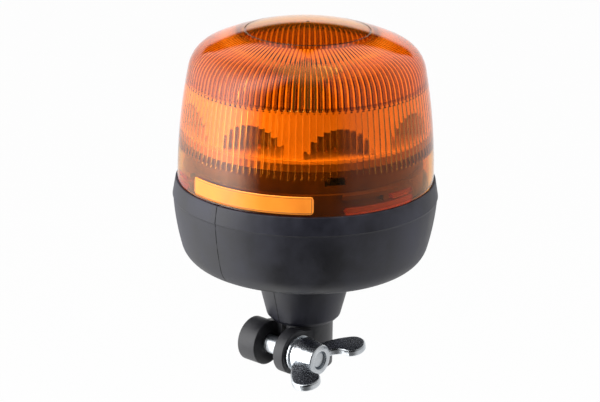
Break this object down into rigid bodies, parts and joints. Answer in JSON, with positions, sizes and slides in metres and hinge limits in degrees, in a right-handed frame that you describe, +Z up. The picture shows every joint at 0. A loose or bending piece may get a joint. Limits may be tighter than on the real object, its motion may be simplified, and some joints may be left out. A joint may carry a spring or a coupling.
{
  "type": "warning beacon",
  "caption": "Amber ribbed warning beacon on a rubber foot, with a bayonet lens and a pole socket clamped by a wing nut.",
  "frame": {"origin": "centre of the pole socket's mouth", "axes": "+Z up along the socket, +X along the clamp bolt towards the wing nut, clamp ears on the -Y side"},
  "size_m": [0.1418, 0.1418, 0.1915],
  "materials": {
    "amber_lens": "clear amber polycarbonate",
    "label_film": "printed film, print left out",
    "black_rubber": "matte rubber",
    "seal_rubber": "soft rubber",
    "black_plastic": "moulded black",
    "mirror_coat": "metallised plastic",
    "white_board": "white solder mask",
    "green_board": "green solder mask",
    "led_body": "LED package",
    "bare_aluminium": "die cast",
    "painted_metal": "satin black coat",
    "zinc": "bright zinc plate",
    "spring_steel": "spring wire",
    "brass": "nickel-free brass",
    "natural_plastic": "natural polyamide",
    "dark_part": "electronic part",
    "copper": "enamelled winding"
  },
  "bodies": {
    "socket": {"pole_socket": "painted_metal", "clamp_bolt": "zinc", "contact_insulator": "natural_plastic", "contact_cap": "natural_plastic", "contact_spring": "spring_steel", "earth_tag": "brass"},
    "head": {"rubber_foot": "black_rubber", "base_housing": "black_plastic", "lens_seal": "seal_rubber", "breather_plug": "natural_plastic", "reflector_ring": "mirror_coat", "reflector_cap": "black_plastic", "led_board": "white_board", "leds": "led_body", "heat_sink": "bare_aluminium", "optic_screws": "zinc", "driver_board": "green_board", "board_spacers": "brass", "board_screws": "zinc", "inductor": "copper", "capacitors": "dark_part", "driver_chip": "dark_part", "terminal_block": "dark_part"},
    "lens": {"dome_lens": "amber_lens", "rating_label": "label_film"},
    "washers": {"plain_washer": "zinc", "spring_washer": "zinc"},
    "nut": {"wing_nut": "zinc"},
    "contact": {"contact_pin": "brass"}
  },
  "joints": [
    {"name": "neck_flex", "type": "hinge", "parent": "socket", "child": "head", "pos_m": [0, 0, 0.05], "axis": [1, 0, 0], "range_deg": [-20, 20], "stiffness_Nm_per_rad": 15, "deforming": ["rubber_foot"]},
    {"name": "dome_twist", "type": "hinge", "parent": "head", "child": "lens", "pos_m": [0, 0, 0.107], "axis": [0, 0, 1], "range_deg": [0, 25]},
    {"name": "nut_travel", "type": "slide", "parent": "socket", "child": "washers", "axis": [1, 0, 0], "range_m": [0, 0.0045]},
    {"name": "nut_turn", "type": "hinge", "parent": "washers", "child": "nut", "pos_m": [0.0178, -0.021, 0.0152], "axis": [1, 0, 0], "range_deg": [0, 1080]},
    {"name": "contact_push", "type": "slide", "parent": "socket", "child": "contact", "axis": [0, 0, 1], "range_m": [0, 0.003], "stiffness_N_per_m": 400, "springref_m": -0.002, "deforming": ["contact_spring"]}
  ],
  "couplings": [
    {"joint": "nut_turn", "follows": "nut_travel", "rad_per_m": 4188.8}
  ]
}
